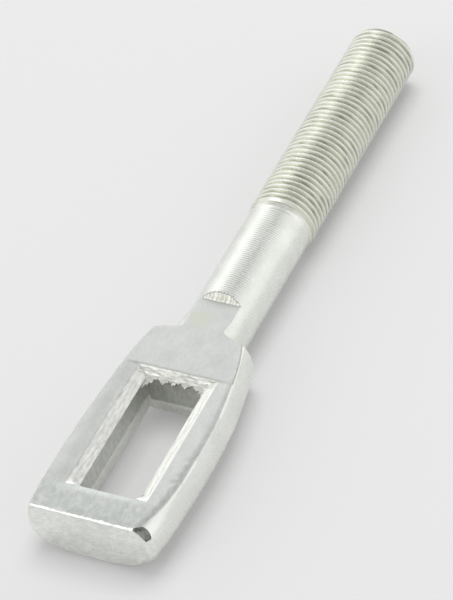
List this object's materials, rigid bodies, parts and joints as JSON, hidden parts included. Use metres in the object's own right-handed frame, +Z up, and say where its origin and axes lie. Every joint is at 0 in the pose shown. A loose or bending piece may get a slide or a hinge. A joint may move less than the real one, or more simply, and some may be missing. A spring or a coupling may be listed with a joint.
{
  "type": "adjusting bolt",
  "caption": "Adjusting bolt with a fine-threaded end and a flat-topped oval head, whose long bevelled slot takes the lever or link that the bolt draws up and holds.",
  "frame": {"origin": "on the surface the bolt lies on, under the middle of its length and its axis", "axes": "+Y along the bolt's axis from the head's end face to the threaded tip, +Z up, square to the head's flat"},
  "size_m": [0.0318, 0.1582, 0.016],
  "materials": {
    "zinc_plated_steel": "bright zinc plate over forged and machined steel, satin, with light stains and handling marks"
  },
  "bodies": {
    "root": {"adjusting_bolt": "zinc_plated_steel"}
  },
  "joints": []
}
